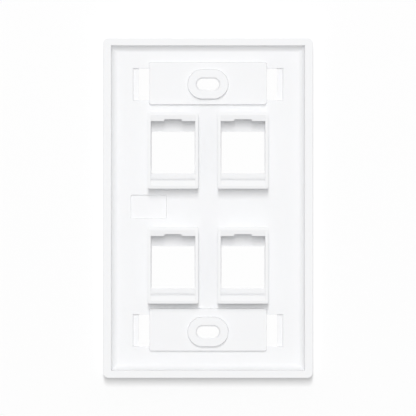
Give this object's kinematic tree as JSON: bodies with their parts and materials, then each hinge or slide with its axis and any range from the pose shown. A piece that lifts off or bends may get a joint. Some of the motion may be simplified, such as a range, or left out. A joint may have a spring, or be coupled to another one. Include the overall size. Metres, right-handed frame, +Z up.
{
  "type": "keystone faceplate",
  "caption": "Flat rectangular wall plate with a dished back, square ports in rows with jack housings behind them, and a slotted screw hole in a label recess at each end.",
  "frame": {"origin": "middle of the screw pattern, in the plane of the rim that lies against the wall", "axes": "+X to the right as seen from the room, +Y into the wall, +Z up"},
  "size_m": [0.0706, 0.0096, 0.1142],
  "materials": {
    "shell": "satin moulded white"
  },
  "bodies": {
    "root": {"faceplate": "shell"}
  },
  "joints": []
}
